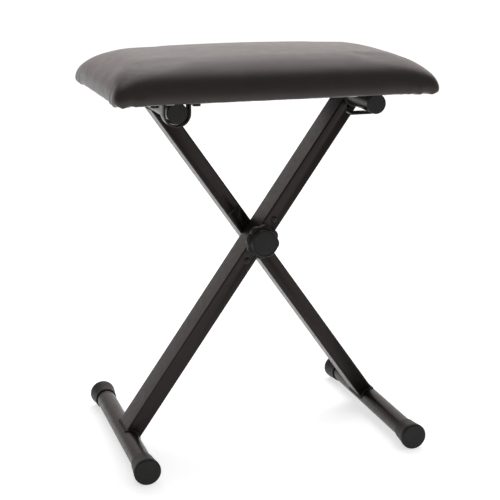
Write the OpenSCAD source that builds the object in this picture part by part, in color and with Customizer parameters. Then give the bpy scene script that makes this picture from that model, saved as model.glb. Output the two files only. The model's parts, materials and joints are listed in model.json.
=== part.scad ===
// Padded bench on a folding cross frame. One leg turns in saddle straps under the seat,
// the other slides in open hook straps, and a clamp knob locks the two legs together.
// Origin: on the floor, under the middle of the seat. X runs along the seat, Y across it.

/* [Seat] */
// Length of the padded seat
seat_length = 400; // [380:5:430]
// Depth of the padded seat
seat_depth = 250; // [250:5:280]
// Height of the padding above the underside, at the middle
seat_thickness = 49; // [44:1:60]
// Height of the upright band round the edge of the seat
edge_height = 12; // [10:1:14]
// Radius of the padded shoulder above the edge band
shoulder_radius = 30; // [24:1:32]
// Radius of the seat's corners, seen from above
corner_radius = 16; // [10:1:24]
// Thickness of the plywood board
board_thickness = 12; // [9:1:15]
// Width of the hem that is folded under the board
hem_width = 13; // [12:1:14]

/* [Cross frame] */
// Angle of each leg from the vertical at the lowest seat height
leg_angle = 35; // [30:1:36]
// Distance along a leg from the pivot to its foot tube
lower_arm = 306; // [290:1:320]
// Distance along a leg from the pivot to its top tube
upper_arm = 217; // [205:1:225]
// Width of the leg tube, seen from the front
leg_width = 21; // [19:1:21]
// Depth of the leg tube, front to back
leg_depth = 42; // [38:1:44]
// Wall thickness of all the tubes
tube_wall = 1.5; // [1.2:0.1:1.8]
// Outside diameter of the foot tubes
foot_tube_d = 25.4; // [24:0.2:26]
// Outside diameter of the top tubes
top_tube_d = 23; // [22:0.5:25]
// Length of a foot tube with its caps
foot_length = 279; // [260:1:300]
// Length of a top tube with its plugs
top_length = 219; // [200:1:223]
// Space between the two legs at the pivot
leg_gap = 2.6; // [2.4:0.1:3.2]

/* [Feet and plugs] */
// Largest diameter of a foot cap
foot_cap_d = 33.8; // [32:0.2:36]
// Length of a foot cap
foot_cap_length = 28; // [22:1:34]
// How far a top plug's head stands out past the tube, all round
plug_lip = 0.5; // [0.3:0.1:1.2]

/* [Straps] */
// Width of each strap, front to back
strap_width = 16.5; // [14:0.5:20]
// Thickness of the saddle straps
saddle_thickness = 2.3; // [2:0.1:3]
// Space between a saddle strap and the top tube's plug
saddle_gap = 2.3; // [2:0.1:4]
// Thickness of the hook straps
hook_thickness = 2.5; // [2:0.1:3]
// Length of a hook's open run, past the tube's axis
hook_reach = 25; // [20:1:35]

/* [Clamp knob] */
// Diameter over the knob's lobes
knob_d = 44.5; // [42:0.5:48]
// Number of lobes
knob_lobes = 8; // [6:1:10]
// Diameter of the knob's round face
knob_face_d = 34.6; // [28:0.2:34.6]
// Diameter of the pivot bolt
bolt_d = 8; // [6:1:8]

/* [Hidden] */
$fn = 96;
eps = 0.01;

// Colours
coat = "#2b2928";
moulded = "#3a3938";
vinyl = "#34333a";
zinc = "#b9bcc0";
ply = "#b08d5c";
foam = "#e8dfc8";
cloth = "#1f1f20";
brass = "#c9a24b";

// Frame heights and places
foot_r = foot_cap_d / 2;
foot_flat = 0.4;
foot_z = foot_r - foot_flat;
pivot_z = foot_z + lower_arm * cos(leg_angle);
top_z = pivot_z + upper_arm * cos(leg_angle);
top_x = upper_arm * sin(leg_angle);
foot_r_tube = foot_tube_d / 2;
top_r = top_tube_d / 2;
plug_r = top_r + plug_lip;
front_face_y = -38;
front_leg_y = front_face_y + leg_depth / 2;
rear_leg_y = front_leg_y + leg_depth + leg_gap;
rear_face_y = rear_leg_y + leg_depth / 2;
leg_corner = 2;
FRONT = 1;
REAR = -1;

// Leg joint hardware
bolt_r = bolt_d / 2;
running_gap = 0.05;
bush_r = bolt_r + 3;
plate_gap = 0.3;
plate_thickness = (leg_gap - plate_gap) / 2;
plate_width = leg_width - 2;
plate_length = 78;
plate_clearance = 0.3;
rivet_spacing = 63;
rivet_r = 3;
rivet_head_r = 4.6;
rivet_head = 1.1;
rivet_recess = 0.25;
vent_r = 2;
vent_from_top = 14.2;
weld_r = 2;
washer_rim = 3;
bolt_washer_thickness = 1.6;
bolt_head = 5.3;
bolt_head_r = bolt_d * 0.93;
bolt_reach = 15;

// Foot caps, from the closed end: a wide band, then a taper down to the open end
foot_wall = 3;
cap_band = 11;
cap_round = 1.2;
cap_step = 0.6;
cap_end_r = foot_r_tube + 1.8;

// Top plugs
plug_head = 2.6;
plug_edge = 0.8;
plug_stem = 14;
plug_wall = 1.6;

// Seat levels, from the top tube's axis upwards
cloth_thickness = 0.8;
under_seat_gap = 0.5;
cloth_z = top_z + plug_r + under_seat_gap;
board_z = cloth_z + cloth_thickness;
vinyl_thickness = 1;
hem_z = board_z - vinyl_thickness;
board_top = board_z + board_thickness;
soft_gap = 0.2;
fit_gap = 0.1;
shoulder_bulge = 1;
corner_bulge = 0.5;
crown_facets = 720;

// Staples that hold the cover's hem to the board
staple_wire = 0.8;
staple_crown = 10;
staple_leg = 6;
staple_inset = 7;
staple_pitch = 45;

// Straps
saddle_r = plug_r + saddle_gap;
saddle_flange = 19;
saddle_screw = saddle_r + saddle_thickness + 8.5;
hem_clearance = 2;
saddle_y = min(top_length / 2, seat_depth / 2 - hem_width - hem_clearance) - strap_width;
hook_gap = 1;
hook_r = top_r + hook_gap;
hook_flange = 36;
hook_screws = [hook_r + hook_thickness + 10, hook_r + hook_thickness + 28];
hook_inset = 20;
hook_y = saddle_y - hook_inset;
bend_r = 2;
screw_r = 2.5;
screw_head_r = 5;
screw_head = 3.4;
screw_slot = [6, 1.2, 1.8];
screw_end = 1;
tee_barrel_r = 4;
tee_flange_r = 8;
tee_flange = 1.2;

// Knob, as distances in front of the front leg
knob_face = 21;
knob_skirt_front = 12.6;
knob_skirt_back = 4.5;
washer_gap = 0.2;
clamp_washer_thickness = 1.6;
knob_back = washer_gap + clamp_washer_thickness + washer_gap;
cap_recess = 0.6;
cap_thickness = 1.5;
insert_length = 12;
insert_r = bolt_r + 2.5;
hub_r = bush_r + 5;
face_rim = 1.8;
face_taper = 1;
scallop_r = knob_d * 0.09;
scallop_centre_r = knob_d / 2 + scallop_r * 0.62;
bolt_clearance = 0.6;
end_wall = 1;

// ---- Shared shapes ----

// Rectangle with round corners, centred
module rounded_rect(w, d, r) {
    square([w - 2 * r, d], center = true);
    square([w, d - 2 * r], center = true);
    for (x = [-1, 1], y = [-1, 1])
        translate([x * (w / 2 - r), y * (d / 2 - r)]) circle(r);
}

// Straight cylinder along Y, centred
module rod_y(r, length) {
    rotate([90, 0, 0]) cylinder(r = r, h = length, center = true);
}

// Extrudes an X-Z outline along Y, between two Y values
module slab_y(y_low, y_high) {
    translate([0, y_high, 0]) rotate([90, 0, 0]) linear_extrude(y_high - y_low) children();
}

// Part of a ring between two angles less than 180 degrees apart
module ring_part(r_in, r_out, from, to) {
    reach = 2 * r_out;
    middle = (from + to) / 2;
    intersection() {
        difference() {
            circle(r_out);
            circle(r_in);
        }
        polygon([
            [0, 0],
            [reach * cos(from), reach * sin(from)],
            [reach * cos(middle), reach * sin(middle)],
            [reach * cos(to), reach * sin(to)]
        ]);
    }
}

// Places a leg's own parts: its length runs along local Z from the pivot, and side is FRONT or REAR
module leg_place(side) {
    translate([0, 0, pivot_z]) rotate([0, side * leg_angle, 0]) children();
}

function leg_y(side) = side == FRONT ? front_leg_y : rear_leg_y;

// ---- Seat ----

// Outline of the padding, drawn in by inset: upright band, round shoulders and a gently crowned top
module crown_outline(half, inset) {
    run = half - shoulder_radius;
    shoulder_r = shoulder_radius + shoulder_bulge;
    shoulder_z = edge_height - sqrt(shoulder_r * shoulder_r - shoulder_radius * shoulder_radius);
    rise = seat_thickness - shoulder_z - shoulder_r + shoulder_bulge;
    crown_r = (run * run + rise * rise) / (2 * rise);
    intersection() {
        union() {
            translate([-half, 0]) square([2 * half, shoulder_z]);
            translate([-run, 0]) square([2 * run, seat_thickness]);
            for (x = [-1, 1]) translate([x * run, shoulder_z]) circle(shoulder_r - inset);
        }
        translate([inset - half, 0]) square([2 * (half - inset), seat_thickness]);
        translate([0, seat_thickness - crown_r]) circle(crown_r - inset, $fn = crown_facets);
    }
}

// Plan of the padding, drawn in by inset; its corners run out to the sides at a slight angle
module seat_plan(inset) {
    intersection() {
        square([seat_length - 2 * inset, seat_depth - 2 * inset], center = true);
        rounded_rect(
            seat_length - 2 * inset + 2 * corner_bulge,
            seat_depth - 2 * inset + 2 * corner_bulge,
            corner_radius - inset + corner_bulge
        );
    }
}

// Solid seat form, drawn in by inset on all sides except below, standing on the hem's level
module seat_form(inset) {
    translate([0, 0, hem_z]) intersection() {
        linear_extrude(seat_thickness) seat_plan(inset);
        slab_y(-seat_depth, seat_depth) crown_outline(seat_length / 2, inset);
        rotate([0, 0, 90]) slab_y(-seat_length, seat_length) crown_outline(seat_depth / 2, inset);
    }
}

// Places something at every saddle screw, at the underside of the board
module each_saddle_screw() {
    for (side = [-1, 1], x = [-saddle_screw, saddle_screw])
        translate([x - top_x, side * (saddle_y + strap_width / 2), board_z]) children();
}

// Places something at every hook screw, at the underside of the board
module each_hook_screw() {
    for (side = [-1, 1], x = hook_screws)
        translate([x + top_x, side * (hook_y + strap_width / 2), board_z]) children();
}

module each_screw() {
    each_saddle_screw() children();
    each_hook_screw() children();
}

// Everything in a seat-sized area from height z upwards
module seat_layer(z, height) {
    translate([-seat_length, -seat_depth, z]) cube([2 * seat_length, 2 * seat_depth, height]);
}

module seat_board() {
    color(ply) difference() {
        intersection() {
            seat_form(vinyl_thickness + fit_gap);
            seat_layer(board_z, board_thickness);
        }
        each_screw() translate([0, 0, -eps]) cylinder(r = tee_barrel_r, h = board_thickness + 1);
        each_screw() translate([0, 0, board_thickness - tee_flange]) cylinder(r = tee_flange_r, h = 2);
    }
}

module seat_foam() {
    color(foam) intersection() {
        seat_form(vinyl_thickness + soft_gap);
        seat_layer(board_top, seat_thickness);
    }
}

// Vinyl over the foam and round the board's edge, with its hem turned under the board
module seat_cover() {
    color(vinyl) difference() {
        seat_form(0);
        intersection() {
            seat_form(vinyl_thickness);
            seat_layer(board_z, seat_thickness);
        }
        translate([0, 0, hem_z - 1]) linear_extrude(3)
            square([seat_length - 2 * hem_width, seat_depth - 2 * hem_width], center = true);
    }
}

// One staple, crown down, legs up
module staple() {
    translate([-staple_crown / 2, 0, -staple_wire]) difference() {
        translate([0, -staple_wire / 2, 0]) cube([staple_crown, staple_wire, staple_leg]);
        translate([staple_wire, -staple_wire, staple_wire])
            cube([staple_crown - 2 * staple_wire, 2 * staple_wire, staple_leg]);
    }
}

module cover_staples() {
    half_x = seat_length / 2 - staple_inset;
    half_y = seat_depth / 2 - staple_inset;
    along_x = floor((half_x - corner_radius) / staple_pitch);
    along_y = floor((half_y - corner_radius) / staple_pitch);
    color(zinc) for (side = [-1, 1]) {
        for (i = [-along_x : along_x]) translate([i * staple_pitch, side * half_y, hem_z]) staple();
        for (i = [-along_y : along_y])
            translate([side * half_x, i * staple_pitch, hem_z]) rotate([0, 0, 90]) staple();
    }
}

// Cloth under the board, inside the hem
module dust_cloth() {
    edge = hem_width + fit_gap;
    color(cloth) difference() {
        translate([0, 0, cloth_z]) linear_extrude(cloth_thickness)
            square([seat_length - 2 * edge, seat_depth - 2 * edge], center = true);
        each_screw() cylinder(r = tee_barrel_r, h = 4 * cloth_thickness, center = true);
    }
}

// Threaded tee nuts in the board, flanges on top under the foam
module tee_nuts() {
    color(zinc) each_screw() difference() {
        union() {
            translate([0, 0, screw_end]) cylinder(r = tee_barrel_r, h = board_thickness - screw_end);
            translate([0, 0, board_thickness - tee_flange]) cylinder(r = tee_flange_r, h = tee_flange);
        }
        translate([0, 0, -eps]) cylinder(r = screw_r, h = board_thickness + 1);
    }
}

// Cross-slot screw up through a strap of that thickness, the cloth and the board
module bracket_screw(strap) {
    grip = strap + cloth_thickness;
    difference() {
        union() {
            translate([0, 0, -grip]) cylinder(r = screw_r, h = grip + board_thickness - screw_end);
            translate([0, 0, -grip - screw_head]) cylinder(r = screw_head_r, h = screw_head);
        }
        for (turn = [0, 90]) rotate([0, 0, turn])
            translate([-screw_slot[0] / 2, -screw_slot[1] / 2, -grip - screw_head - eps]) cube(screw_slot);
    }
}

module bracket_screws() {
    color(zinc) {
        each_saddle_screw() bracket_screw(saddle_thickness);
        each_hook_screw() bracket_screw(hook_thickness);
    }
}

// ---- Straps ----

// Saddle outline about the tube's axis: a U with a flange on each side
module saddle_outline() {
    t = saddle_thickness;
    top = cloth_z - top_z;
    wall_top = top - t - bend_r;
    ring_part(saddle_r, saddle_r + t, 180, 270);
    ring_part(saddle_r, saddle_r + t, 270, 360);
    for (side = [0, 1]) mirror([side, 0]) {
        translate([saddle_r, 0]) square([t, wall_top]);
        translate([saddle_r + t + bend_r, wall_top]) ring_part(bend_r, bend_r + t, 90, 180);
        translate([saddle_r + t + bend_r, top - t]) square([saddle_flange - bend_r - t, t]);
    }
}

// Hook outline about the tube's axis: a flange, a wall, a round bend under the tube and an open run
module hook_outline() {
    t = hook_thickness;
    top = cloth_z - top_z;
    wall_top = top - t - bend_r;
    translate([-hook_reach, -hook_r - t]) square([hook_reach, t]);
    ring_part(hook_r, hook_r + t, 270, 360);
    translate([hook_r, 0]) square([t, wall_top]);
    translate([hook_r + t + bend_r, wall_top]) ring_part(bend_r, bend_r + t, 90, 180);
    translate([hook_r + t + bend_r, top - t]) square([hook_flange, t]);
}

module strap_holes() {
    each_screw() cylinder(r = screw_r, h = 40, center = true);
}

module saddle(y_low) {
    color(coat) difference() {
        translate([-top_x, 0, top_z]) slab_y(y_low, y_low + strap_width) saddle_outline();
        strap_holes();
    }
}

module hook(y_low) {
    color(coat) difference() {
        translate([top_x, 0, top_z]) slab_y(y_low, y_low + strap_width) hook_outline();
        strap_holes();
    }
}

module front_saddle() { saddle(-saddle_y - strap_width); }
module rear_saddle() { saddle(saddle_y); }
module front_hook() { hook(-hook_y - strap_width); }
module rear_hook() { hook(hook_y); }

// ---- Legs ----

// Places something at a leg's foot tube or top tube, on its axis
module at_foot() { translate([0, 0, -lower_arm]) children(); }
module at_top() { translate([0, 0, upper_arm]) children(); }

// Solid outer shape of a leg tube
module leg_block(side, inset) {
    translate([0, leg_y(side), -lower_arm]) linear_extrude(lower_arm + upper_arm)
        rounded_rect(leg_width - 2 * inset, leg_depth - 2 * inset, leg_corner - inset);
}

module leg_tube(side) {
    outer_face = leg_y(side) - side * leg_depth / 2;
    color(coat) leg_place(side) difference() {
        leg_block(side, 0);
        leg_block(side, tube_wall);
        at_foot() rod_y(foot_r_tube, 2 * foot_length);
        at_top() rod_y(top_r, 2 * top_length);
        translate([0, leg_y(side), 0]) rod_y(bush_r, leg_depth + 2);
        translate([0, outer_face, upper_arm - vent_from_top]) rod_y(vent_r, 4 * tube_wall);
        rivet_places() translate([0, leg_y(side), 0]) rod_y(rivet_r, leg_depth + 2);
    }
}

module round_tube(r, length) {
    difference() {
        rod_y(r, length);
        rod_y(r - tube_wall, length + 2);
    }
}

module leg_foot_tube(side) {
    color(coat) leg_place(side) at_foot() round_tube(foot_r_tube, foot_length - 2 * foot_wall);
}

module leg_top_tube(side) {
    color(coat) leg_place(side) at_top() round_tube(top_r, top_length - 2 * plug_head);
}

// Beads round the foot of a leg where it meets a round tube of radius r, leg side up
module weld_ring(side, r) {
    seam = sqrt(r * r - leg_width * leg_width / 4);
    difference() {
        for (x = [-1, 1]) translate([x * leg_width / 2, leg_y(side), seam])
            rod_y(weld_r, leg_depth - 2 * leg_corner);
        rod_y(r, 2 * foot_length);
        linear_extrude(2 * leg_width) translate([0, leg_y(side)])
            rounded_rect(leg_width, leg_depth, leg_corner);
    }
    for (y = [-1, 1]) difference() {
        intersection() {
            translate([0, leg_y(side) + y * leg_depth / 2, 0]) rotate([90, 0, 0])
                rotate_extrude() translate([r, 0]) circle(weld_r);
            translate([-leg_width / 2 + leg_corner, -foot_length, 0])
                cube([leg_width - 2 * leg_corner, 2 * foot_length, 2 * r]);
        }
        rod_y(r, 2 * foot_length);
        linear_extrude(2 * leg_width) translate([0, leg_y(side)])
            rounded_rect(leg_width, leg_depth, leg_corner);
    }
}

module leg_welds(side) {
    color(coat) leg_place(side) {
        at_foot() weld_ring(side, foot_r_tube);
        at_top() mirror([0, 0, 1]) weld_ring(side, top_r);
    }
}

// Foot cap: a closed sleeve that flares to a wide band at its outer end, with a small flat to stand on
module foot_cap(side, end) {
    length = foot_cap_length;
    color(moulded) difference() {
        leg_place(side) at_foot() translate([0, end * foot_length / 2, 0]) rotate([end * 90, 0, 0])
            rotate_extrude() difference() {
                union() {
                    square([foot_r - cap_round, cap_band]);
                    translate([0, cap_round]) square([foot_r, cap_band - cap_round]);
                    translate([foot_r - cap_round, cap_round]) intersection() {
                        circle(cap_round);
                        translate([0, -cap_round]) square(cap_round);
                    }
                    polygon([[0, cap_band], [foot_r - cap_step, cap_band], [cap_end_r, length], [0, length]]);
                }
                translate([-eps, foot_wall]) square([foot_r_tube + eps, length]);
            }
        translate([-seat_length, -seat_length, -2 * foot_r])
            cube([2 * seat_length, 2 * seat_length, 2 * foot_r]);
    }
}

// Top plug: a shallow head on a hollow stem that is pushed into the tube
module top_plug(side, end) {
    stem_r = top_r - tube_wall;
    color(moulded) leg_place(side) at_top() translate([0, end * top_length / 2, 0])
        rotate([end * 90, 0, 0]) rotate_extrude() difference() {
            union() {
                translate([0, plug_edge]) square([plug_r, plug_head - plug_edge]);
                polygon([[0, 0], [plug_r - plug_edge, 0], [plug_r, plug_edge], [0, plug_edge]]);
                square([stem_r, plug_head + plug_stem]);
            }
            translate([-eps, plug_head]) square([stem_r - plug_wall, plug_stem + 1]);
        }
}

module leg_bush(side) {
    bore = side == FRONT ? bolt_r + running_gap : bolt_r;
    color(zinc) leg_place(side) translate([0, leg_y(side), 0]) difference() {
        rod_y(bush_r, leg_depth);
        rod_y(bore, leg_depth + 2);
    }
}

module rivet_places() {
    for (z = [-1, 1]) translate([0, 0, z * rivet_spacing / 2]) children();
}

// Plate on a leg's inner face; the clamp presses the two legs' plates together
module leg_lock_plate(side) {
    inner_face = leg_y(side) + side * leg_depth / 2;
    bore = side == FRONT ? bolt_r + plate_clearance : bolt_r;
    color(coat) leg_place(side) translate([0, inner_face + side * plate_thickness / 2, 0]) difference() {
        cube([plate_width, plate_thickness, plate_length], center = true);
        rod_y(bore, 2 * plate_thickness);
        rivet_places() rod_y(rivet_r, 2 * plate_thickness);
    }
}

// Rivets through a leg that hold its lock plate: domed head outside, tail sunk in the plate
module leg_rivets(side) {
    length = leg_depth + plate_thickness - rivet_recess;
    color(coat) leg_place(side) translate([0, leg_y(side) - side * leg_depth / 2, 0]) rivet_places() {
        translate([0, side * length / 2, 0]) rod_y(rivet_r, length);
        rotate([side * 90, 0, 0]) rivet_head_shape();
    }
}

// Shallow domed rivet head, standing on its flat side
module rivet_head_shape() {
    dome_r = (rivet_head_r * rivet_head_r + rivet_head * rivet_head) / (2 * rivet_head);
    intersection() {
        translate([0, 0, rivet_head - dome_r]) sphere(dome_r);
        cylinder(r = rivet_head_r, h = 2 * rivet_head);
    }
}

// ---- Rear leg ----

module rear_leg_tube() { leg_tube(REAR); }
module rear_leg_foot_tube() { leg_foot_tube(REAR); }
module rear_leg_top_tube() { leg_top_tube(REAR); }
module rear_leg_welds() { leg_welds(REAR); }
module rear_leg_foot_cap_front() { foot_cap(REAR, -1); }
module rear_leg_foot_cap_rear() { foot_cap(REAR, 1); }
module rear_leg_top_plug_front() { top_plug(REAR, -1); }
module rear_leg_top_plug_rear() { top_plug(REAR, 1); }
module rear_leg_bush() { leg_bush(REAR); }

module rear_leg_lock_plate() { leg_lock_plate(REAR); }
module rear_leg_rivets() { leg_rivets(REAR); }

// Bolt through both legs: hexagon head behind the rear leg, thread out past the front leg
module pivot_bolt() {
    head_y = rear_face_y + bolt_washer_thickness;
    front_y = front_face_y - bolt_reach;
    color(zinc) translate([0, 0, pivot_z]) {
        translate([0, (head_y + front_y) / 2, 0]) rod_y(bolt_r, head_y - front_y);
        translate([0, head_y + bolt_head, 0]) rotate([90, 0, 0])
            cylinder(r = bolt_head_r, h = bolt_head, $fn = 6);
    }
}

module bolt_washer() {
    color(zinc) translate([0, rear_face_y + bolt_washer_thickness / 2, pivot_z]) difference() {
        rod_y(bush_r + washer_rim, bolt_washer_thickness);
        rod_y(bolt_r, 2 * bolt_washer_thickness);
    }
}

// ---- Front leg ----

module front_leg_tube() { leg_tube(FRONT); }
module front_leg_foot_tube() { leg_foot_tube(FRONT); }
module front_leg_top_tube() { leg_top_tube(FRONT); }
module front_leg_welds() { leg_welds(FRONT); }
module front_leg_foot_cap_front() { foot_cap(FRONT, -1); }
module front_leg_foot_cap_rear() { foot_cap(FRONT, 1); }
module front_leg_top_plug_front() { top_plug(FRONT, -1); }
module front_leg_top_plug_rear() { top_plug(FRONT, 1); }
module front_leg_bush() { leg_bush(FRONT); }

module front_leg_lock_plate() { leg_lock_plate(FRONT); }
module front_leg_rivets() { leg_rivets(FRONT); }

// ---- Clamp ----

// Stands a shape on the front leg's face at the pivot, its own Z pointing to the front
module on_front_face(out) {
    translate([0, front_face_y - out, pivot_z]) rotate([90, 0, 0]) children();
}

module clamp_washer() {
    color(zinc) on_front_face(washer_gap) difference() {
        cylinder(r = hub_r, h = clamp_washer_thickness);
        translate([0, 0, -1]) cylinder(r = bolt_r + running_gap, h = clamp_washer_thickness + 2);
    }
}

// Lobed skirt of the knob, between its two depths
module knob_skirt() {
    skirt = knob_skirt_front - knob_skirt_back;
    translate([0, 0, knob_skirt_back]) difference() {
        cylinder(r = knob_d / 2, h = skirt);
        for (i = [0 : knob_lobes - 1]) rotate([0, 0, i * 360 / knob_lobes])
            translate([scallop_centre_r, 0, -1]) cylinder(r = scallop_r, h = skirt + 2);
    }
}

// Knob grip: hub, lobed skirt and a round face, with a pocket for the cap and a bore for the insert
module knob_grip() {
    face_r = knob_face_d / 2;
    pocket = knob_face - cap_recess - cap_thickness;
    color(moulded) on_front_face(0) difference() {
        union() {
            translate([0, 0, knob_back]) cylinder(r = hub_r, h = knob_skirt_back - knob_back + eps);
            knob_skirt();
            translate([0, 0, knob_skirt_front - eps])
                cylinder(r1 = face_r + face_taper, r2 = face_r, h = knob_face - knob_skirt_front + eps);
        }
        translate([0, 0, pocket]) cylinder(r = face_r - face_rim, h = cap_thickness + 2);
        translate([0, 0, -1]) cylinder(r = insert_r, h = knob_back + insert_length + 1);
        translate([0, 0, -1]) cylinder(r = bolt_r + bolt_clearance, h = pocket - end_wall + 1);
    }
}

module knob_insert() {
    color(brass) on_front_face(knob_back) difference() {
        cylinder(r = insert_r, h = insert_length);
        translate([0, 0, -1]) cylinder(r = bolt_r + running_gap, h = insert_length + 2);
    }
}

module knob_cap() {
    color(moulded) on_front_face(knob_face - cap_recess - cap_thickness)
        cylinder(r = knob_face_d / 2 - face_rim, h = cap_thickness);
}

seat_board();
seat_foam();
seat_cover();
cover_staples();
dust_cloth();
tee_nuts();
bracket_screws();
front_saddle();
rear_saddle();
front_hook();
rear_hook();
rear_leg_tube();
rear_leg_foot_tube();
rear_leg_top_tube();
rear_leg_welds();
rear_leg_foot_cap_front();
rear_leg_foot_cap_rear();
rear_leg_top_plug_front();
rear_leg_top_plug_rear();
rear_leg_bush();
rear_leg_lock_plate();
rear_leg_rivets();
pivot_bolt();
bolt_washer();
front_leg_tube();
front_leg_foot_tube();
front_leg_top_tube();
front_leg_welds();
front_leg_foot_cap_front();
front_leg_foot_cap_rear();
front_leg_top_plug_front();
front_leg_top_plug_rear();
front_leg_bush();
front_leg_lock_plate();
front_leg_rivets();
clamp_washer();
knob_grip();
knob_insert();
knob_cap();
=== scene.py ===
"""Looks of the padded bench on a folding cross frame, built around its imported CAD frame."""
import json
import math

import bmesh
import bpy
import numpy as np
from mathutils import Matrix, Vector, noise


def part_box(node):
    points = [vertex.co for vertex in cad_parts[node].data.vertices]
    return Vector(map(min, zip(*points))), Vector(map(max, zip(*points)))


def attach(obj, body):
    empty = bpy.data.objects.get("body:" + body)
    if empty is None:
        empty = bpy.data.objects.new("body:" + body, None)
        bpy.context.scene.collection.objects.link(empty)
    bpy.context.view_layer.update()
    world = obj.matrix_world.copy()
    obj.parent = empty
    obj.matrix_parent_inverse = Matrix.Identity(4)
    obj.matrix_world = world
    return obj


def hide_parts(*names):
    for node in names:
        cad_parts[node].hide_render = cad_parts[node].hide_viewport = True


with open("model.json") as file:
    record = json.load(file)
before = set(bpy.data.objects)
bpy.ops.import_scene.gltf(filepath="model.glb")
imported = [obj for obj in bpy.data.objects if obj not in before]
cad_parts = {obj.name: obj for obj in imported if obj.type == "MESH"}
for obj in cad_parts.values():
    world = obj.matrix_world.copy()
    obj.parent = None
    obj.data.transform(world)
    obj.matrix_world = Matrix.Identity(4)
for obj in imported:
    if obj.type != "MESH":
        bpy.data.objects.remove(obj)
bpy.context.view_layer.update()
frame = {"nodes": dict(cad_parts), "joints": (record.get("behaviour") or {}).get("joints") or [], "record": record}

MM = 0.001
TO_BACK = Vector((0, 1, 0))
JOINTS = {joint["name"]: joint for joint in frame["joints"]}
LEG_BODIES = ("rear_leg", "front_leg")

# ---- Camera, light and floor ----

CAMERA_AT = (-0.4837, -1.5051, 0.6663)
CAMERA_TURN = (75.064, 0.0, -17.757)
CAMERA_LENS = 90.49
CAMERA_SENSOR = 36.0
# The room's brightness goes from ROOM_DIM to ROOM_BRIGHT as a direction turns to BRIGHT_SIDE
BRIGHT_SIDE = (0.64, 0.77, 0.05)
BRIGHT_FROM, BRIGHT_TO = 0.12, 0.8
ROOM_DIM, ROOM_BRIGHT = 0.3, 1.16
WARM = (1.0, 0.925, 0.905)
FLOOR_SIZE = 60
FLOOR_GLOW = 0.61
SOFTBOXES = {
    "top_softbox": {"place": (0.5, 0.9, 2.3), "aim": (0, 0, 0.4), "size": 2.2, "power": 19},
    "left_softbox": {"place": (-2.2, 0.2, 1.0), "aim": (0, 0, 0.35), "size": 1.8, "power": 1.5},
}


def make_camera():
    """A long lens from the front left, a little above the seat, at the bench's own angle."""
    data = bpy.data.cameras.new("camera")
    data.lens = CAMERA_LENS
    data.sensor_width = CAMERA_SENSOR
    data.clip_end = 100
    camera = bpy.data.objects.new("camera", data)
    camera.location = CAMERA_AT
    camera.rotation_euler = [math.radians(angle) for angle in CAMERA_TURN]
    bpy.context.scene.collection.objects.link(camera)
    bpy.context.scene.camera = camera


def make_light(name, place, aim, size, power):
    """A white square softbox at place, facing aim."""
    data = bpy.data.lights.new(name, "AREA")
    data.shape = "SQUARE"
    data.size = size
    data.energy = power
    light = bpy.data.objects.new(name, data)
    light.location = place
    light.rotation_euler = (Vector(aim) - Vector(place)).to_track_quat("-Z", "Y").to_euler()
    bpy.context.scene.collection.objects.link(light)


def make_world(dim, bright):
    """A warm white room, bright behind the bench and on its right, dim above and on the camera's side."""
    world = bpy.data.worlds.new("room")
    world.use_nodes = True
    tree = world.node_tree
    direction = tree.nodes.new("ShaderNodeTexCoord").outputs["Generated"]
    facing = tree.nodes.new("ShaderNodeVectorMath")
    facing.operation = "DOT_PRODUCT"
    facing.inputs[1].default_value = BRIGHT_SIDE
    level = tree.nodes.new("ShaderNodeMapRange")
    level.interpolation_type = "SMOOTHSTEP"
    span = {"From Min": BRIGHT_FROM, "From Max": BRIGHT_TO, "To Min": dim, "To Max": bright}
    for socket, value in span.items():
        level.inputs[socket].default_value = value
    tree.links.new(direction, facing.inputs[0])
    tree.links.new(facing.outputs["Value"], level.inputs["Value"])
    background = tree.nodes["Background"]
    background.inputs["Color"].default_value = (*WARM, 1)
    tree.links.new(level.outputs["Result"], background.inputs["Strength"])
    bpy.context.scene.world = world


def make_floor(size):
    """A plain pale floor at the height that the bench stands on. The seat is the body that stays
    still when the legs fold, so the floor keeps level with a point in the middle of a foot."""
    half = size / 2
    corners = [(x * half, y * half, 0) for x, y in ((-1, -1), (1, -1), (1, 1), (-1, 1))]
    floor = mesh_piece("floor", corners, [(0, 1, 2, 3)])
    floor.data.materials.append(plain_floor())
    low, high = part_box("rear_leg_foot_tube")
    foot = bpy.data.objects.new("foot_height", None)
    foot.location = (low + high) / 2
    bpy.context.scene.collection.objects.link(foot)
    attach(foot, "rear_leg")
    floor.location.z = -foot.location.z
    level = floor.constraints.new("COPY_LOCATION")
    level.target = foot
    level.use_x = False
    level.use_y = False
    level.use_offset = True


# ---- Meshes ----


def mesh_piece(name, points, faces, sharp_degrees=None):
    """A mesh object in the scene, smooth except where it turns by more than sharp_degrees."""
    data = bpy.data.meshes.new(name)
    data.from_pydata([tuple(p) for p in points], [], faces)
    data.validate()
    data.update()
    piece = bpy.data.objects.new(name, data)
    bpy.context.scene.collection.objects.link(piece)
    smooth(piece, sharp_degrees)
    return piece


def smooth(piece, sharp_degrees=None):
    """Smooth shading, with sharp edges where the surface turns by more than sharp_degrees."""
    piece.data.shade_smooth()
    if sharp_degrees:
        piece.data.set_sharp_from_angle(angle=math.radians(sharp_degrees))


def read_points(data):
    """A mesh's points as an array with one row each."""
    flat = np.zeros(len(data.vertices) * 3)
    data.vertices.foreach_get("co", flat)
    return flat.reshape(-1, 3)


def write_points(data, points):
    """Puts an array's rows back as the mesh's points."""
    data.vertices.foreach_set("co", np.ascontiguousarray(points, dtype=float).ravel())
    data.update()


def read_normals(data):
    """A mesh's point normals as an array with one row each."""
    flat = np.zeros(len(data.vertices) * 3)
    data.vertices.foreach_get("normal", flat)
    return flat.reshape(-1, 3)


def apply_modifiers(piece):
    """Turns a piece's modifiers into its plain mesh."""
    bpy.context.view_layer.update()
    done = piece.evaluated_get(bpy.context.evaluated_depsgraph_get())
    data = bpy.data.meshes.new_from_object(done)
    piece.modifiers.clear()
    piece.data = data


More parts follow.
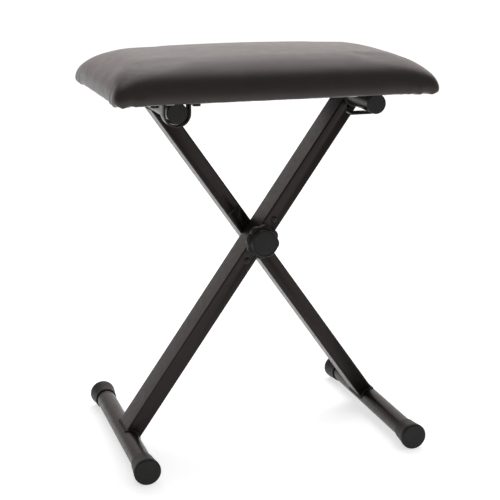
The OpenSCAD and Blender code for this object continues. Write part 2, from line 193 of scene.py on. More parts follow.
def arc(centre, radius, start, stop, steps=8):
    """Points on an arc in the plane of a lathe's profile, angles in degrees."""
    angles = [math.radians(start + (stop - start) * i / steps) for i in range(steps + 1)]
    return [(centre[0] + radius * math.cos(a), centre[1] + radius * math.sin(a)) for a in angles]


def side_axes(direction):
    """Two unit vectors square to direction and to each other."""
    first = direction.orthogonal().normalized()
    return first, direction.cross(first).normalized()


def lathe(name, profile, origin, direction, turns=96, radius_at=None, sharp_degrees=35):
    """Turns a profile of (radius, depth) points about a line from origin along direction.
    radius_at(radius, depth, angle) may vary the radius round the turn. Ends on the axis are closed."""
    across, up = side_axes(direction)
    points, rings = [], []
    for radius, depth in profile:
        centre = origin + direction * depth
        if radius < 1e-7:
            rings.append([len(points)])
            points.append(centre)
            continue
        rings.append(list(range(len(points), len(points) + turns)))
        for i in range(turns):
            angle = 2 * math.pi * i / turns
            reach = radius_at(radius, depth, angle) if radius_at else radius
            points.append(centre + (across * math.cos(angle) + up * math.sin(angle)) * reach)
    faces = []
    for low, high in zip(rings, rings[1:]):
        for i in range(turns):
            j = (i + 1) % turns
            near = [low[i % len(low)], low[j % len(low)]]
            face = list(dict.fromkeys(near + [high[j % len(high)], high[i % len(high)]]))
            if len(face) > 2:
                faces.append(face)
    piece = mesh_piece(name, points, faces, sharp_degrees)
    tidy_mesh(piece)
    smooth(piece, sharp_degrees)
    return piece


def tidy_mesh(piece, merge=1e-6):
    """Merges doubled points and turns all faces outwards."""
    work = bmesh.new()
    work.from_mesh(piece.data)
    bmesh.ops.remove_doubles(work, verts=work.verts, dist=merge)
    bmesh.ops.recalc_face_normals(work, faces=work.faces)
    work.to_mesh(piece.data)
    work.free()


def sweep_loop(name, path, radius_at, sides=10):
    """A closed tube along a closed path, whose radius changes with the distance along it."""
    count = len(path)
    points, faces, run = [], [], 0.0
    middle = sum(path, Vector()) / count
    for i, place in enumerate(path):
        ahead = (path[(i + 1) % count] - path[i - 1]).normalized()
        outwards = place - middle
        across = (outwards - ahead * outwards.dot(ahead)).normalized()
        up = ahead.cross(across)
        for k in range(sides):
            angle = 2 * math.pi * k / sides
            arm = across * math.cos(angle) + up * math.sin(angle)
            points.append(place + arm * radius_at(run))
        run += (path[(i + 1) % count] - place).length
    for i in range(count):
        for k in range(sides):
            a, b = i * sides + k, i * sides + (k + 1) % sides
            after = ((i + 1) % count) * sides
            faces.append((a, b, after + (k + 1) % sides, after + k))
    piece = mesh_piece(name, points, faces)
    tidy_mesh(piece)
    return piece


def softened(node, width, sharp_degrees=30):
    """A copy of a CAD node with its sharp edges rounded, to stand for it."""
    source = frame["nodes"][node]
    piece = bpy.data.objects.new(node + ".soft_edges", source.data.copy())
    bpy.context.scene.collection.objects.link(piece)
    piece.data.materials.clear()
    work = bmesh.new()
    work.from_mesh(piece.data)
    bmesh.ops.remove_doubles(work, verts=work.verts, dist=2e-6)
    flat = math.radians(0.5)
    bmesh.ops.dissolve_limit(work, angle_limit=flat, verts=work.verts, edges=work.edges)
    work.to_mesh(piece.data)
    work.free()
    bevel = piece.modifiers.new("edges", "BEVEL")
    bevel.width = width
    bevel.segments = 2
    bevel.limit_method = "ANGLE"
    bevel.angle_limit = math.radians(sharp_degrees)
    bevel.use_clamp_overlap = True
    apply_modifiers(piece)
    smooth(piece, sharp_degrees)
    return piece


def finish_piece(piece, body, slot, material, *nodes):
    """Gives a piece its material, hangs it on its body and lets it stand for CAD nodes."""
    piece.data.materials.clear()
    piece.data.materials.append(material)
    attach(piece, body)
    if nodes:
        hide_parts(*nodes)
    return piece


def node_body(node):
    """The CAD body that a node belongs to."""
    bodies = frame["record"]["behaviour"]["bodies"]
    return next(body for body, members in bodies.items() if node in members)


# ---- Materials ----


class Shader:
    """One procedural material, made node by node around a Principled shader."""

    def __init__(self, name, colour, roughness, metallic=0.0, specular=0.5):
        self.material = bpy.data.materials.new(name)
        self.material.use_nodes = True
        self.tree = self.material.node_tree
        self.surface = self.tree.nodes["Principled BSDF"]
        self.set(self.surface, "Base Color", (*colour, 1))
        self.set(self.surface, "Roughness", roughness)
        self.set(self.surface, "Metallic", metallic)
        self.set(self.surface, "Specular IOR Level", specular)
        self.place = self.tree.nodes.new("ShaderNodeTexCoord").outputs["Object"]

    def set(self, node, socket, value):
        node.inputs[socket].default_value = value

    def node(self, kind, vector=None, **values):
        made = self.tree.nodes.new(kind)
        for socket, value in values.items():
            self.set(made, socket.replace("_", " "), value)
        if vector is not None:
            self.link(vector, made.inputs["Vector"])
        return made

    def link(self, source, target):
        self.tree.links.new(source, target)

    def noise(self, scale, detail=2.0, rough=0.5, stretch=None):
        """Noise with about scale cells a metre, its space stretched by three factors if given."""
        vector = self.place
        if stretch:
            mapping = self.node("ShaderNodeMapping", vector)
            self.set(mapping, "Scale", stretch)
            vector = mapping.outputs["Vector"]
        made = self.node("ShaderNodeTexNoise", vector, Scale=scale, Detail=detail, Roughness=rough)
        return made.outputs["Fac"]

    def cells(self, scale, feature="F1", out="Distance"):
        """Voronoi cells, about scale of them a metre."""
        made = self.node("ShaderNodeTexVoronoi", self.place, Scale=scale)
        made.feature = feature
        return made.outputs[out]

    def ramp(self, source, low, high, out_low, out_high):
        """Maps source from low..high to out_low..out_high, and holds it there outside."""
        made = self.node("ShaderNodeMapRange")
        self.link(source, made.inputs["Value"])
        span = {"From Min": low, "From Max": high, "To Min": out_low, "To Max": out_high}
        for socket, value in span.items():
            self.set(made, socket, value)
        return made.outputs["Result"]

    def sums(self, first, second, share):
        """first plus share times second."""
        made = self.tree.nodes.new("ShaderNodeMath")
        made.operation = "MULTIPLY_ADD"
        self.link(second, made.inputs[0])
        made.inputs[1].default_value = share
        self.link(first, made.inputs[2])
        return made.outputs["Value"]

    def colours(self, source, low, high):
        """Base colour that goes from low to high with source."""
        made = self.tree.nodes.new("ShaderNodeMix")
        made.data_type = "RGBA"
        self.link(source, made.inputs["Factor"])
        made.inputs[6].default_value = (*low, 1)
        made.inputs[7].default_value = (*high, 1)
        self.link(made.outputs[2], self.surface.inputs["Base Color"])

    def roughness(self, source):
        self.link(source, self.surface.inputs["Roughness"])

    def bump(self, height, depth, strength=1.0, under=None):
        """Relief of up to depth metres."""
        made = self.node("ShaderNodeBump", Strength=strength, Distance=depth)
        self.link(height, made.inputs["Height"])
        if under is not None:
            self.link(under, made.inputs["Normal"])
        self.link(made.outputs["Normal"], self.surface.inputs["Normal"])
        return made.outputs["Normal"]


def plain_floor():
    """A matt, nearly white floor, lifted by a glow of its own."""
    shader = Shader("floor", (0.95, 0.95, 0.95), 0.9, specular=0.1)
    shader.colours(shader.noise(3.0), (0.885, 0.94, 0.955), (0.895, 0.95, 0.965))
    shader.set(shader.surface, "Emission Color", (1, 1, 1, 1))
    shader.set(shader.surface, "Emission Strength", FLOOR_GLOW)
    return shader.material


def black_coat():
    """Satin black powder coat with a fine orange peel."""
    shader = Shader("black_powder_coat", (0.006, 0.0053, 0.005), 0.36, specular=0.3)
    shader.set(shader.surface, "Specular Tint", (1.0, 0.87, 0.84, 1))
    shader.colours(shader.noise(60, 4), (0.0042, 0.0037, 0.0035), (0.0075, 0.0066, 0.0062))
    shader.roughness(shader.ramp(shader.noise(140, 3), 0.3, 0.7, 0.28, 0.40))
    peel = shader.sums(shader.noise(750, 2), shader.noise(2600, 1), 0.35)
    shader.bump(peel, 0.00010, 0.55)
    return shader.material


def vinyl():
    """Black upholstery vinyl: pebbled grain with fine creases, satin and a little patchy."""
    shader = Shader("black_vinyl", (0.022, 0.020, 0.021), 0.40, specular=0.44)
    shader.set(shader.surface, "Specular Tint", (1.0, 0.86, 0.835, 1))
    shader.set(shader.surface, "Sheen Weight", 0.05)
    shader.set(shader.surface, "Sheen Roughness", 0.4)
    shader.colours(shader.noise(35, 5), (0.0145, 0.0135, 0.0143), (0.021, 0.0195, 0.0205))
    shader.roughness(shader.ramp(shader.noise(90, 4), 0.3, 0.7, 0.30, 0.36))
    pebbles = shader.ramp(shader.cells(820, "DISTANCE_TO_EDGE"), 0.0, 0.16, 0.0, 1.0)
    grain = shader.sums(pebbles, shader.noise(2400, 2), 0.5)
    shader.bump(grain, 0.00009, 0.5)
    return shader.material


def moulded_plastic():
    """Matte black moulded plastic with a fine spark texture."""
    shader = Shader("moulded_plastic", (0.020, 0.0185, 0.018), 0.52, specular=0.26)
    shader.colours(shader.noise(80, 4), (0.0085, 0.0080, 0.0077), (0.0130, 0.0122, 0.0118))
    shader.roughness(shader.ramp(shader.noise(300, 3), 0.3, 0.7, 0.46, 0.6))
    shader.bump(shader.sums(shader.noise(1500, 3), shader.cells(2200), 0.4), 0.00008, 0.6)
    return shader.material


def zinc():
    """Bright zinc plate, a little cloudy."""
    shader = Shader("zinc_plate", (0.62, 0.63, 0.64), 0.3, metallic=1.0)
    shader.colours(shader.noise(220, 5), (0.50, 0.51, 0.52), (0.70, 0.70, 0.69))
    shader.roughness(shader.ramp(shader.noise(500, 4), 0.3, 0.7, 0.22, 0.42))
    shader.bump(shader.noise(2500, 2), 0.00003, 0.5)
    return shader.material


def brass():
    """Turned brass."""
    shader = Shader("brass_insert", (0.70, 0.52, 0.24), 0.28, metallic=1.0)
    shader.colours(shader.noise(300, 4), (0.62, 0.45, 0.20), (0.76, 0.58, 0.28))
    shader.roughness(shader.ramp(shader.noise(900, 2), 0.3, 0.7, 0.2, 0.36))
    return shader.material


def plywood():
    """Raw birch ply with grain along the seat and lines of glue at the edge."""
    shader = Shader("plywood", (0.52, 0.38, 0.22), 0.62)
    grain = shader.noise(9, 8, 0.6, stretch=(1, 14, 14))
    shader.colours(grain, (0.42, 0.29, 0.16), (0.62, 0.47, 0.29))
    shader.bump(shader.noise(60, 6, 0.6, stretch=(1, 16, 16)), 0.0002, 0.5)
    return shader.material


def foam():
    """Open-cell foam."""
    shader = Shader("foam", (0.80, 0.74, 0.60), 0.9, specular=0.1)
    shader.colours(shader.cells(1400), (0.66, 0.60, 0.46), (0.84, 0.79, 0.66))
    shader.bump(shader.cells(1400), 0.0005, 0.8)
    return shader.material


def dust_cloth_fabric():
    """Black non-woven cloth, with bonded dots between loose fibres."""
    shader = Shader("black_dust_cloth", (0.018, 0.018, 0.019), 0.85, specular=0.2)
    shader.set(shader.surface, "Sheen Weight", 0.25)
    shader.colours(shader.noise(500, 5, 0.7), (0.012, 0.012, 0.013), (0.030, 0.030, 0.032))
    dots = shader.ramp(shader.cells(420), 0.1, 0.35, 0.0, 1.0)
    shader.bump(shader.sums(dots, shader.noise(2600, 3, 0.7, stretch=(1, 4, 1)), 0.6), 0.00018, 0.7)
    return shader.material


MATERIALS = {
    "black_coat": black_coat(),
    "vinyl": vinyl(),
    "moulded_plastic": moulded_plastic(),
    "zinc_steel": zinc(),
    "plywood": plywood(),
    "foam": foam(),
    "backing_cloth": dust_cloth_fabric(),
    "brass_insert": brass(),
}
SLOT_OF = {part["node"]: part["material_slot"] for part in frame["record"]["subparts"]}


def stand_for(piece, node):
    """Lets a piece stand for one CAD node, on its body and in its material."""
    slot = SLOT_OF[node]
    return finish_piece(piece, node_body(node), slot, MATERIALS[slot], node)


# ---- Padded seat: EDGE_BAND, SHOULDER_* and CROWN give the padding's shape ----

SEAT_LOW, SEAT_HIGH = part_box("seat_cover")
HALF = np.array([(SEAT_HIGH.x - SEAT_LOW.x) / 2, (SEAT_HIGH.y - SEAT_LOW.y) / 2])
SEAT_Z = SEAT_LOW.z
BOARD_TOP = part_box("seat_board")[1].z
EDGE_BAND = 12.5 * MM
SHOULDER_RISE = 29.3 * MM
SHOULDER_RUN = (55 * MM, 52 * MM)
SHOULDER_POWER = 0.84
CROWN = 7.2 * MM
PLAN_CORNER = 5 * MM
HEM = 13 * MM
LUMPS_LONG = (9 * MM, 24 * MM)
LUMPS_SHORT = (12 * MM, 30 * MM)
LUMP_DROP = 1.3 * MM
PLEAT = 1.1 * MM
GATHER = 42 * MM
FOLD = 0.4 * MM
UNEVEN = 0.35 * MM
STAPLE_PITCH = 45 * MM
STAPLE_PULL = 0.25 * MM
COVER_INSET = -0.8 * MM
HEM_DROP = 0.7 * MM
VOXEL = 4.0 * MM
CLOTH_PRESSURE = 4.0
CLOTH_FRAMES = 20
SWELL_CAP = 1.2 * MM
SKIN = 0.7 * MM
FOAM_INSET = 5 * MM


def shoulder_share(distance, radius):
    """How far up a round shoulder the padding is, from 0 at the edge to 1 on top."""
    inside = np.clip(distance / radius, 0, 1)
    return np.sqrt(1 - (1 - inside) ** 2)


def padding_height(x, y, inset=0.0):
    """Height of the padding's top above the seat's underside: shoulders that fade into the corners."""
    to_end = HALF[0] - inset - np.abs(x)
    to_side = HALF[1] - inset - np.abs(y)
    shape = shoulder_share(to_end, SHOULDER_RUN[0]) * shoulder_share(to_side, SHOULDER_RUN[1])
    crown = (1 - (x / HALF[0]) ** 2) * (1 - (y / HALF[1]) ** 2)
    return EDGE_BAND + (SHOULDER_RISE - inset) * shape ** SHOULDER_POWER + CROWN * crown


def round_corners(points, half, radius):
    """Draws a plan's corners in to arcs of that radius."""
    away = np.abs(points) - (half - radius)
    length = np.linalg.norm(away, axis=1)
    corner = (away > 0).all(axis=1) & (length > radius)
    pulled = points.copy()
    share = (radius / np.maximum(length, 1e-9))[:, None]
    inner = np.sign(points) * ((half - radius) + away * share)
    pulled[corner] = inner[corner]
    return pulled


def padding_form(name, inset, low_z, rows=(64, 40)):
    """A closed pillow whose underside is flat at low_z, drawn in by inset all round."""
    half = HALF - inset
    u = np.sin(np.linspace(-math.pi / 2, math.pi / 2, rows[0] + 1)) * half[0]
    v = np.sin(np.linspace(-math.pi / 2, math.pi / 2, rows[1] + 1)) * half[1]
    grid = np.array([(x, y) for x in u for y in v])
    top_z = SEAT_Z + padding_height(grid[:, 0], grid[:, 1], inset)
    plan = round_corners(grid, half, max(PLAN_CORNER - inset, 3 * MM))
    tucked = plan * (1 - 2.5 * MM / half)
    levels = [
        np.column_stack([plan, top_z]),
        np.column_stack([plan, np.full(len(plan), low_z + 3 * MM)]),
        np.column_stack([tucked, np.full(len(plan), low_z)]),
    ]
    points = np.vstack(levels)
    count = len(plan)
    wide = rows[1] + 1
    faces = []
    for i in range(rows[0]):
        for j in range(rows[1]):
            a, b = i * wide + j, (i + 1) * wide + j
            c, d = b + 1, a + 1
            faces.append((a, b, c, d))
            faces.append((2 * count + d, 2 * count + c, 2 * count + b, 2 * count + a))
    rim = [i * wide for i in range(rows[0])]
    rim += [rows[0] * wide + j for j in range(rows[1])]
    rim += [i * wide + rows[1] for i in range(rows[0], 0, -1)]
    rim += [j for j in range(rows[1], 0, -1)]
    for a, b in zip(rim, rim[1:] + rim[:1]):
        for level in (0, count):
            faces.append((a + level, a + level + count, b + level + count, b + level))
    used = sorted({i for face in faces for i in face})
    order = {old: new for new, old in enumerate(used)}
    piece = mesh_piece(name, points[used], [tuple(order[i] for i in face) for face in faces])
    tidy_mesh(piece, 1e-5)
    return piece


def swell(piece, pressure, cap):
    """Blows the padding up as cloth, with its underside and the board's edge held."""
    rest = read_points(piece.data)
    held = piece.vertex_groups.new(name="held")
    height = rest[:, 2] - SEAT_Z
    for i, h in enumerate(height):
        held.add([i], float(np.clip((EDGE_BAND + 2 * MM - h) / (6 * MM), 0, 1)), "REPLACE")
    cloth = piece.modifiers.new("cloth", "CLOTH")
    settings = cloth.settings
    settings.quality = 6
    settings.mass = 0.3
    settings.tension_stiffness = 18
    settings.compression_stiffness = 18
    settings.shear_stiffness = 8
    settings.bending_stiffness = 1.5
    settings.use_pressure = True
    settings.uniform_pressure_force = pressure
    settings.effector_weights.gravity = 0
    settings.vertex_group_mass = "held"
    scene = bpy.context.scene
    for step in range(1, CLOTH_FRAMES + 1):
        scene.frame_set(step)
    done = piece.evaluated_get(bpy.context.evaluated_depsgraph_get())
    moved = read_points(done.data)
    shift = moved - rest
    length = np.linalg.norm(shift, axis=1, keepdims=True)
    piece.modifiers.clear()
    write_points(piece.data, rest + shift * np.minimum(1, cap / np.maximum(length, 1e-9)))
    scene.frame_set(1)
    settle = piece.modifiers.new("settle", "SMOOTH")
    settle.factor = 0.5
    settle.iterations = 14
    settle.vertex_group = "held"
    settle.invert_vertex_group = True
    apply_modifiers(piece)
    piece.vertex_groups.clear()


def layered_noise(points, scale, seed):
    """Smooth noise about zero at each point, with features of 1 / scale metres."""
    shift = Vector((seed * 7.3, seed * 3.1, seed * 5.7))
    return np.array([noise.noise(Vector(p) * scale + shift) for p in points])


def pleats(points, normals):
    """Moves the cover at the corners, where the vinyl is gathered under the board."""
    height = points[:, 2] - SEAT_Z
    away = np.abs(points[:, :2]) - (HALF - GATHER)
    corner = (away > 0).all(axis=1)
    angle = np.arctan2(away[:, 1], away[:, 0])
    middle = np.clip(np.sin(2 * angle), 0, 1) ** 0.6
    side = np.sign(points[:, 0]) * 1.3 + np.sign(points[:, 1]) * 2.1
    wave = np.cos(angle * 17 + side + 1.2 * np.sin(angle * 5 + side))
    fade = np.exp(-((height / (9 * MM)) ** 2)) + 0.28 * np.exp(-((height / (24 * MM)) ** 2))
    size = np.where(corner, middle * fade * (0.5 + 0.5 * wave), 0)
    return points + normals * (PLEAT * size)[:, None]


def hem_lumps(points, normals):
    """Small folded lumps that hang below the edge beside each corner."""
    height = points[:, 2] - SEAT_Z
    near_edge = np.exp(-(((HALF - np.abs(points[:, :2])).min(axis=1) / (5 * MM)) ** 2))
    low = np.clip((6 * MM - height) / (6 * MM), 0, 1)
    drop = np.zeros(len(points))
    for axis, starts in ((0, LUMPS_LONG), (1, LUMPS_SHORT)):
        on_side = HALF[1 - axis] - np.abs(points[:, 1 - axis]) < 8 * MM
        from_corner = HALF[axis] - np.abs(points[:, axis])
        for start in starts:
            drop += on_side * np.exp(-(((from_corner - start) / (2.6 * MM)) ** 2))
    changed = points.copy()
    changed[:, 2] -= LUMP_DROP * near_edge * low * np.minimum(drop, 1)
    return changed


def wrinkles(points, normals):
    """Soft slack folds on the sides, running up from the hem, and a faint unevenness on top."""
    height = points[:, 2] - SEAT_Z
    side_band = np.clip(height / (6 * MM), 0, 1) * np.clip((46 * MM - height) / (26 * MM), 0, 1)
    x, y = points[:, 0], points[:, 1]
    along = np.column_stack([x + y, y - x, height * 0.35])
    folds = layered_noise(along, 25, 1.0)
    top = layered_noise(points * np.array([1, 1.6, 1]), 14, 3.0)
    size = FOLD * folds * side_band + UNEVEN * top * np.clip(height / (40 * MM), 0, 1)
    return points + normals * size[:, None]


def hem_pull(points, normals):
    """Small pulls along the lower edge, one at each staple."""
    height = points[:, 2] - SEAT_Z
    run = np.where(np.abs(points[:, 1]) > HALF[1] - 8 * MM, points[:, 0], points[:, 1])
    pull = 0.5 + 0.5 * np.cos(2 * math.pi * run / STAPLE_PITCH)
    fade = np.exp(-((height / (5 * MM)) ** 2))
    return points - normals * (STAPLE_PULL * pull * fade)[:, None]


def open_underside(piece):
    """Cuts the hem's opening out of the closed form."""
    work = bmesh.new()
    work.from_mesh(piece.data)
    inner = HALF - HEM
    under = []
    for face in work.faces:
        middle = face.calc_center_median()
        inside = abs(middle.x) < inner[0] and abs(middle.y) < inner[1]
        if inside and middle.z < SEAT_Z + 1.5 * MM:
            under.append(face)
    bmesh.ops.delete(work, geom=under, context="FACES")
    work.to_mesh(piece.data)
    work.free()


def make_cover():
    """The vinyl cover: a swollen shell with gathers at its corners and a hem turned under the board."""
    cover = padding_form("seat_vinyl_cover", COVER_INSET, SEAT_Z - HEM_DROP)
    remesh = cover.modifiers.new("remesh", "REMESH")
    remesh.mode = "VOXEL"
    remesh.voxel_size = VOXEL
    apply_modifiers(cover)
    swell(cover, CLOTH_PRESSURE, SWELL_CAP)
    open_underside(cover)
    finer = cover.modifiers.new("finer", "SUBSURF")
    finer.levels = 1
    apply_modifiers(cover)
    points = read_points(cover.data)
    for change in (pleats, wrinkles, hem_pull, hem_lumps):
        points = change(points, read_normals(cover.data))
        write_points(cover.data, points)
    skin = cover.modifiers.new("skin", "SOLIDIFY")
    skin.thickness = SKIN
    skin.offset = -1
    apply_modifiers(cover)
    smooth(cover)
    stand_for(cover, "seat_cover")


def make_board():
    """The plywood board, with its edge eased so that it sits inside the cover."""
    board = softened("seat_board", 0.6 * MM)
    points = read_points(board.data)
    plan = points[:, :2]
    outer = (np.abs(plan) > HALF - 22 * MM).any(axis=1)
    points[outer, :2] = (plan * (1 - 3.0 * MM / HALF))[outer]
    rim = (np.abs(plan) > HALF - 12 * MM).any(axis=1)
    points[rim, 2] = np.maximum(points[rim, 2], points[:, 2].min() + 1.0 * MM)
    write_points(board.data, points)
    stand_for(board, "seat_board")


def make_foam():
    """The foam block inside the cover, on the board."""
    block = padding_form("seat_foam_block", FOAM_INSET, BOARD_TOP)
    stand_for(block, "seat_foam")


def make_dust_cloth():
    """The black cloth under the board, drawn tight between its staples."""
    low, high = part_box("dust_cloth")
    cells = (84, 52)
    pitch = 22 * MM
    scallop = 0.9 * MM
    points, faces = [], []
    for i in range(cells[0] + 1):
        for j in range(cells[1] + 1):
            x = low.x + (high.x - low.x) * i / cells[0]
            y = low.y + (high.y - low.y) * j / cells[1]
            ripple = noise.noise(Vector((x * 26, y * 26, 1.7)))
            z = high.z - 0.35 * MM + 0.2 * MM * ripple
            if i in (0, cells[0]):
                x -= math.copysign(scallop * math.sin(math.pi * y / pitch) ** 2, x)
            if j in (0, cells[1]):
                y -= math.copysign(scallop * math.sin(math.pi * x / pitch) ** 2, y)
            points.append((x, y, z))
    wide = cells[1] + 1
    for i in range(cells[0]):
        for j in range(cells[1]):
            a = i * wide + j
            faces.append((a, a + 1, a + wide + 1, a + wide))
    cloth = mesh_piece("seat_dust_cloth", points, faces)
    thick = cloth.modifiers.new("thick", "SOLIDIFY")
    thick.thickness = 0.5 * MM
    thick.offset = 0
    apply_modifiers(cloth)
    smooth(cloth)
    stand_for(cloth, "dust_cloth")


# ---- Legs ----

LEG_WIDTH = 21 * MM
LEG_CORNER = 2 * MM
BEAD_RADIUS = 1.75 * MM
BEAD_RIPPLE = 0.22 * MM
RIPPLE_PITCH = 1.5 * MM
BEAD_STEPS = 220
TUBE_WALL = 1.55 * MM


def tube_end(node):
    """Middle, radius and front and rear ends of a round tube that lies along Y."""
    low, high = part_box(node)
    centre = (low + high) / 2
    return centre, (high.x - low.x) / 2, low.y, high.y


def make_foot_cap(node):
    """A flared foot cap with a soft rim, an open inner end round the tube and a flat to stand on."""
    low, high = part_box(node)
    outer_r = (high.x - low.x) / 2
    body = node_body(node)
    tube, tube_r, _, _ = tube_end(body + "_foot_tube")
    outwards = -1 if node.endswith("front") else 1
    face_y = low.y if outwards < 0 else high.y
    length = high.y - low.y
    rim = 2.2 * MM
    lip_r = tube_r + 1.7 * MM
    neck = length * 0.62
    profile = [(0, 0.35 * MM), (outer_r - 6 * MM, 0.3 * MM)]
    profile += arc((outer_r - rim, rim), rim, -90, -4, 10)
    profile += [(outer_r - 0.1 * MM, 5 * MM), (outer_r - 0.5 * MM, 8 * MM)]
    profile += [(outer_r - 1.1 * MM, 11 * MM), (lip_r + 0.9 * MM, neck)]
    profile += [(lip_r + 0.3 * MM, length * 0.8), (lip_r, length - 0.8 * MM)]
    profile += arc((lip_r - 0.6 * MM, length - 0.6 * MM), 0.6 * MM, 10, 90, 4)
    profile += [(tube_r + 0.25 * MM, length), (tube_r + 0.05 * MM, length - 1.2 * MM)]
    profile += [(tube_r, 3 * MM), (0, 3 * MM)]
    origin = Vector((tube.x, face_y, tube.z))
    cap = lathe(node + ".moulded", profile, origin, TO_BACK * -outwards, 128)
    points = read_points(cap.data)
    points[:, 2] = np.maximum(points[:, 2], 0)
    write_points(cap.data, points)
    stand_for(cap, node)


def make_top_plug(node):
    """A shallow domed plug head on its stem."""
    low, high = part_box(node)
    outer_r = (high.x - low.x) / 2 + 0.4 * MM
    tube, tube_r, front, rear = tube_end(node_body(node) + "_top_tube")
    outwards = -1 if node.endswith("front") else 1
    face_y = low.y if outwards < 0 else high.y
    head = front - low.y if outwards < 0 else high.y - rear
    stem_r = tube_r - TUBE_WALL
    depth = high.y - low.y
    profile = [(0, 0.15 * MM), (outer_r * 0.5, 0.2 * MM), (outer_r - 2.4 * MM, 0.3 * MM)]
    profile += arc((outer_r - 1.4 * MM, 1.7 * MM), 1.4 * MM, -90, 0, 8)
    profile += [(outer_r, head - 0.3 * MM), (outer_r - 0.3 * MM, head), (stem_r, head),
                (stem_r, depth - 1.5 * MM), (stem_r - 0.8 * MM, depth), (stem_r - 1.6 * MM, depth),
                (stem_r - 1.6 * MM, head + 1 * MM), (0, head + 1 * MM)]
    origin = Vector((tube.x, face_y, tube.z))
    plug = lathe(node + ".moulded", profile, origin, TO_BACK * -outwards, 96)
    stand_for(plug, node)


def make_weld(body, end):
    """A rippled bead where a leg tube is welded to its foot or top tube."""
    leg_low, leg_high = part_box(body + "_tube")
    tube, radius, _, _ = tube_end(f"{body}_{end}_tube")
    foot = tube_end(body + "_foot_tube")[0]
    top = tube_end(body + "_top_tube")[0]
    along = Vector((top.x - foot.x, 0, top.z - foot.z)).normalized()
    away = along if end == "foot" else -along
    across = TO_BACK.cross(away).normalized()
    half_depth = (leg_high.y - leg_low.y) / 2
    middle_y = (leg_high.y + leg_low.y) / 2
    path = []
    for i in range(BEAD_STEPS):
        x, y = rounded_loop(i / BEAD_STEPS, LEG_WIDTH / 2, half_depth, LEG_CORNER)
        rise = math.sqrt(max(radius ** 2 - x ** 2, 0))
        path.append(Vector((tube.x, middle_y, tube.z)) + across * x + TO_BACK * y + away * rise)

    def bead(run):
        return BEAD_RADIUS + BEAD_RIPPLE * math.sin(2 * math.pi * run / RIPPLE_PITCH)

    return sweep_loop(f"{body}_{end}_weld_bead", path, bead, 12)


def rounded_loop(share, half_x, half_y, radius):
    """A point on a rectangle with round corners, at a share of the way round it."""
    straight_x, straight_y = 2 * (half_x - radius), 2 * (half_y - radius)
    bend = math.pi * radius / 2
    run = share * (2 * straight_x + 2 * straight_y + 4 * bend)
    x, y, heading = half_x, -half_y + radius, 90.0
    for straight in (straight_y, straight_x, straight_y, straight_x):
        ahead = Vector((math.cos(math.radians(heading)), math.sin(math.radians(heading))))
        if run <= straight:
            return x + ahead.x * run, y + ahead.y * run
        x, y, run = x + ahead.x * straight, y + ahead.y * straight, run - straight
        centre = Vector((x, y)) + Vector((-ahead.y, ahead.x)) * radius
        turn = min(run, bend) / radius
        arm = Vector((x, y)) - centre
        turned = Vector((arm.x * math.cos(turn) - arm.y * math.sin(turn),
                         arm.x * math.sin(turn) + arm.y * math.cos(turn)))
        if run <= bend:
            return (centre + turned).x, (centre + turned).y
        x, y, run, heading = (centre + turned).x, (centre + turned).y, run - bend, heading + 90
    return x, y


def make_legs():
    """Caps, plugs and welds of both legs."""
    for body in LEG_BODIES:
        for end in ("front", "rear"):
            make_foot_cap(f"{body}_foot_cap_{end}")
            make_top_plug(f"{body}_top_plug_{end}")
        beads = [make_weld(body, end) for end in ("foot", "top")]
        stand_for(beads[0], body + "_welds")
        finish_piece(beads[1], body, "black_coat", MATERIALS["black_coat"])


# ---- Clamp knob ----

LOBES = 8
LOBE_TURN = math.radians(12.5)
LOBE_DEPTH = 2.5 * MM
LOBE_POWER = 0.42


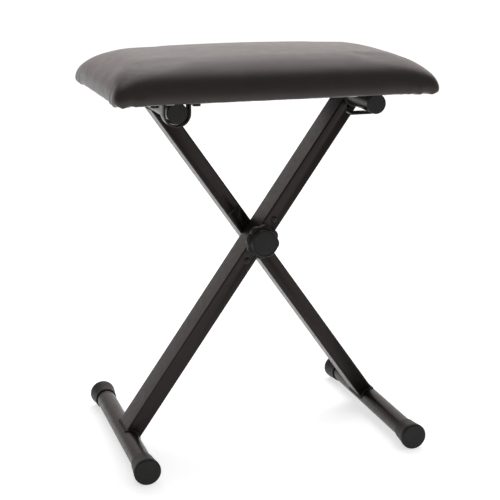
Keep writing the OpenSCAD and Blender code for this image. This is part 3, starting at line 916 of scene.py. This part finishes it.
def make_knob():
    """A lobed grip with a round raised face, softly edged all over, and its face cap."""
    low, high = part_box("knob_grip")
    pivot = Vector(JOINTS["knob_turn"]["pos_m"])
    outer_r = max(high.x - low.x, high.z - low.z) / 2
    depth = high.y - low.y
    face_low, face_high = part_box("knob_cap")
    face_r = (face_high.x - face_low.x) / 2 + 1.8 * MM
    skirt_front = depth - 12.6 * MM + 2 * MM
    skirt_back = skirt_front + 8.1 * MM
    hub_r = 12 * MM
    bore_r = 4.6 * MM
    insert_r = bore_r + 2 * MM
    insert_depth = depth - 12 * MM
    cap_depth = 0.6 * MM

    def lobed(radius, depth_in, angle):
        weight = max(0.0, min(1.0, (radius - face_r) / (outer_r - face_r)))
        wave = 0.5 + 0.5 * math.cos(LOBES * (angle - LOBE_TURN))
        return radius - weight * LOBE_DEPTH * (1 - wave ** LOBE_POWER)

    profile = [(0, cap_depth + 1.4 * MM), (face_r - 1.9 * MM, cap_depth + 1.4 * MM),
               (face_r - 1.9 * MM, 0.4 * MM), (face_r - 1.5 * MM, 0.05 * MM)]
    profile += arc((face_r - 1.3 * MM, 1.3 * MM), 1.3 * MM, -90, 0, 7)
    profile += [(face_r + 0.2 * MM, 4 * MM), (face_r + 0.5 * MM, skirt_front - 1.2 * MM)]
    profile += arc((face_r + 1.6 * MM, skirt_front - 1.1 * MM), 1.1 * MM, 180, 90, 5)
    profile += [(outer_r - 2.4 * MM, skirt_front + 0.1 * MM)]
    profile += arc((outer_r - 1.9 * MM, skirt_front + 2 * MM), 1.9 * MM, -90, 0, 8)
    profile += arc((outer_r - 1.4 * MM, skirt_back - 1.4 * MM), 1.4 * MM, 0, 90, 6)
    profile += [(hub_r + 0.8 * MM, skirt_back), (hub_r, skirt_back + 0.6 * MM)]
    profile += [(hub_r, depth - 0.4 * MM), (hub_r - 0.4 * MM, depth)]
    profile += [(insert_r, depth), (insert_r, insert_depth), (bore_r, insert_depth)]
    profile += [(bore_r, cap_depth + 3 * MM), (0, cap_depth + 3 * MM)]
    origin = Vector((pivot.x, low.y, pivot.z))
    grip = lathe("knob_grip.moulded", profile, origin, TO_BACK, 192, lobed)
    stand_for(grip, "knob_grip")
    cap_r = face_r - 1.95 * MM
    cap_back = 1.9 * MM
    cap_profile = [(0, 0.15 * MM), (cap_r * 0.6, 0.25 * MM), (cap_r - 1 * MM, 0.45 * MM)]
    cap_profile += arc((cap_r - 0.5 * MM, 1.0 * MM), 0.5 * MM, -90, 0, 4)
    cap_profile += [(cap_r, cap_back), (0, cap_back)]
    cap = lathe("knob_face_cap.moulded", cap_profile, origin, TO_BACK, 128)
    stand_for(cap, "knob_cap")


# ---- Metalwork that keeps its CAD shape, with softened edges ----

SOFT_EDGES = {
    "front_saddle": 0.45, "rear_saddle": 0.45, "front_hook": 0.4, "rear_hook": 0.4,
    "rear_leg_tube": 0.25, "front_leg_tube": 0.25, "bracket_screws": 0.3,
    "pivot_bolt": 0.5, "bolt_washer": 0.25, "clamp_washer": 0.25,
    "front_leg_lock_plate": 0.2, "rear_leg_lock_plate": 0.2,
}


def soften_metalwork():
    """Gives the metal pieces rounded edges, each of its own width in millimetres."""
    for node, width in SOFT_EDGES.items():
        stand_for(softened(node, width * MM), node)


def dress_nodes():
    """Every CAD node that stays gets its slot's material."""
    for name, node in frame["nodes"].items():
        node.data.materials.clear()
        node.data.materials.append(MATERIALS[SLOT_OF[name]])


make_camera()
make_world(ROOM_DIM, ROOM_BRIGHT)
make_floor(FLOOR_SIZE)
for light_name, light in SOFTBOXES.items():
    make_light(light_name, **light)
bpy.context.scene.view_settings.view_transform = "Standard"

dress_nodes()
make_cover()
make_board()
make_foam()
make_dust_cloth()
make_legs()
make_knob()
soften_metalwork()
